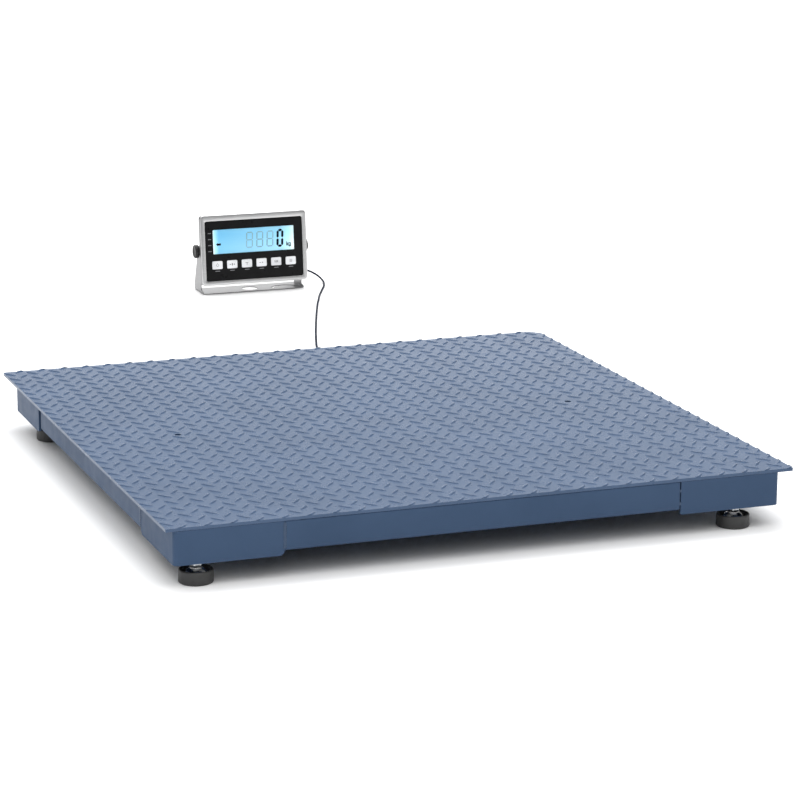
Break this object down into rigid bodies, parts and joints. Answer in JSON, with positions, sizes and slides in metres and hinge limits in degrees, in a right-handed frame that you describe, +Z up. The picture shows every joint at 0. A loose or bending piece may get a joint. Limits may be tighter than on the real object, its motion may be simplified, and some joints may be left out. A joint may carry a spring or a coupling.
{
  "type": "pallet scale",
  "caption": "Low square tread-plate weighing platform on levelling feet, with a separate tilting display indicator on a cable.",
  "frame": {"origin": "on the floor, under the middle of the box around platform and indicator", "axes": "+X to the right along the platform's front edge, +Y from the platform back to the indicator, +Z up"},
  "size_m": [1.2, 2.3836, 0.1999],
  "materials": {
    "deck_paint": "semi-gloss blue-grey enamel over rolled tread plate",
    "frame_paint": "semi-gloss dark blue enamel on bent sheet steel",
    "load_cell_steel": "machined, nickel plated",
    "zinc": "zinc plated",
    "chrome": "polished",
    "rubber": "moulded, matt",
    "box_grey": "moulded grey plastic",
    "cable_sheath": "extruded dark navy PVC",
    "black_plastic": "moulded black plastic",
    "stainless": "brushed stainless sheet",
    "panel_film": "printed black polyester film",
    "key_film": "pale grey embossed film",
    "window": "clear polycarbonate",
    "lcd": "backlit blue liquid crystal display",
    "board": "green solder mask"
  },
  "bodies": {
    "platform": {"load_plate": "deck_paint", "skirt_front": "frame_paint", "skirt_rear": "frame_paint", "skirt_left": "frame_paint", "skirt_right": "frame_paint", "corner_skirt_fl": "frame_paint", "corner_skirt_fr": "frame_paint", "corner_skirt_rl": "frame_paint", "corner_skirt_rr": "frame_paint", "cell_bracket_fl": "frame_paint", "cell_bracket_fr": "frame_paint", "cell_bracket_rl": "frame_paint", "cell_bracket_rr": "frame_paint", "load_cell_fl": "load_cell_steel", "load_cell_fr": "load_cell_steel", "load_cell_rl": "load_cell_steel", "load_cell_rr": "load_cell_steel", "deck_rib_left": "frame_paint", "deck_rib_right": "frame_paint", "lifting_nut_left": "zinc", "lifting_nut_right": "zinc", "junction_box": "box_grey", "junction_lid": "box_grey", "cell_cable_fl": "cable_sheath", "cell_cable_fr": "cable_sheath", "cell_cable_rl": "cable_sheath", "cell_cable_rr": "cable_sheath", "cable_outlet": "black_plastic", "indicator_bracket": "stainless", "indicator_cable": "cable_sheath", "cable_tail": "cable_sheath", "cable_coil": "cable_sheath"},
    "foot_fl": {"foot_cup_fl": "rubber", "foot_seat_fl": "chrome"},
    "stud_fl": {"foot_stud_fl": "zinc"},
    "foot_fr": {"foot_cup_fr": "rubber", "foot_seat_fr": "chrome"},
    "stud_fr": {"foot_stud_fr": "zinc"},
    "foot_rl": {"foot_cup_rl": "rubber", "foot_seat_rl": "chrome"},
    "stud_rl": {"foot_stud_rl": "zinc"},
    "foot_rr": {"foot_cup_rr": "rubber", "foot_seat_rr": "chrome"},
    "stud_rr": {"foot_stud_rr": "zinc"},
    "casing": {"indicator_bezel": "stainless", "indicator_cover": "stainless", "keypad_panel": "panel_film", "display_window": "window", "display_lcd": "lcd", "main_board": "board", "case_gland": "black_plastic"},
    "key_1": {"key_1": "key_film"},
    "key_2": {"key_2": "key_film"},
    "key_3": {"key_3": "key_film"},
    "key_4": {"key_4": "key_film"},
    "key_5": {"key_5": "key_film"},
    "key_6": {"key_6": "key_film"},
    "knob_left": {"knob_left": "black_plastic"},
    "knob_right": {"knob_right": "black_plastic"}
  },
  "joints": [
    {"name": "foot_height_fl", "type": "slide", "parent": "platform", "child": "foot_fl", "axis": [0, 0, 1], "range_m": [-0.012, 0.005]},
    {"name": "stud_turn_fl", "type": "hinge", "parent": "foot_fl", "child": "stud_fl", "pos_m": [-0.538, -1.145, 0.0205], "axis": [0, 0, 1], "range_deg": [-2170, 910]},
    {"name": "foot_height_fr", "type": "slide", "parent": "platform", "child": "foot_fr", "axis": [0, 0, 1], "range_m": [-0.012, 0.005]},
    {"name": "stud_turn_fr", "type": "hinge", "parent": "foot_fr", "child": "stud_fr", "pos_m": [0.494, -1.145, 0.0205], "axis": [0, 0, 1], "range_deg": [-2170, 910]},
    {"name": "foot_height_rl", "type": "slide", "parent": "platform", "child": "foot_rl", "axis": [0, 0, 1], "range_m": [-0.012, 0.005]},
    {"name": "stud_turn_rl", "type": "hinge", "parent": "foot_rl", "child": "stud_rl", "pos_m": [-0.538, -0.131, 0.0205], "axis": [0, 0, 1], "range_deg": [-2170, 910]},
    {"name": "foot_height_rr", "type": "slide", "parent": "platform", "child": "foot_rr", "axis": [0, 0, 1], "range_m": [-0.012, 0.005]},
    {"name": "stud_turn_rr", "type": "hinge", "parent": "foot_rr", "child": "stud_rr", "pos_m": [0.494, -0.131, 0.0205], "axis": [0, 0, 1], "range_deg": [-2170, 910]},
    {"name": "indicator_tilt", "type": "hinge", "parent": "platform", "child": "casing", "pos_m": [0.29, 1.1277, 0.1062], "axis": [1, 0, 0], "range_deg": [-40, 10], "deforming": ["indicator_cable"]},
    {"name": "knob_turn_left", "type": "hinge", "parent": "casing", "child": "knob_left", "pos_m": [0.29, 1.1277, 0.1062], "axis": [1, 0, 0], "continuous": true},
    {"name": "knob_turn_right", "type": "hinge", "parent": "casing", "child": "knob_right", "pos_m": [0.29, 1.1277, 0.1062], "axis": [1, 0, 0], "continuous": true},
    {"name": "key_press_1", "type": "slide", "parent": "casing", "child": "key_1", "axis": [0, 0.9945, -0.1045], "range_m": [0, 0.0008], "stiffness_N_per_m": 2000},
    {"name": "key_press_2", "type": "slide", "parent": "casing", "child": "key_2", "axis": [0, 0.9945, -0.1045], "range_m": [0, 0.0008], "stiffness_N_per_m": 2000},
    {"name": "key_press_3", "type": "slide", "parent": "casing", "child": "key_3", "axis": [0, 0.9945, -0.1045], "range_m": [0, 0.0008], "stiffness_N_per_m": 2000},
    {"name": "key_press_4", "type": "slide", "parent": "casing", "child": "key_4", "axis": [0, 0.9945, -0.1045], "range_m": [0, 0.0008], "stiffness_N_per_m": 2000},
    {"name": "key_press_5", "type": "slide", "parent": "casing", "child": "key_5", "axis": [0, 0.9945, -0.1045], "range_m": [0, 0.0008], "stiffness_N_per_m": 2000},
    {"name": "key_press_6", "type": "slide", "parent": "casing", "child": "key_6", "axis": [0, 0.9945, -0.1045], "range_m": [0, 0.0008], "stiffness_N_per_m": 2000}
  ],
  "couplings": [
    {"joint": "stud_turn_fl", "follows": "foot_height_fl", "rad_per_m": 3141.6},
    {"joint": "stud_turn_fr", "follows": "foot_height_fr", "rad_per_m": 3141.6},
    {"joint": "stud_turn_rl", "follows": "foot_height_rl", "rad_per_m": 3141.6},
    {"joint": "stud_turn_rr", "follows": "foot_height_rr", "rad_per_m": 3141.6}
  ]
}
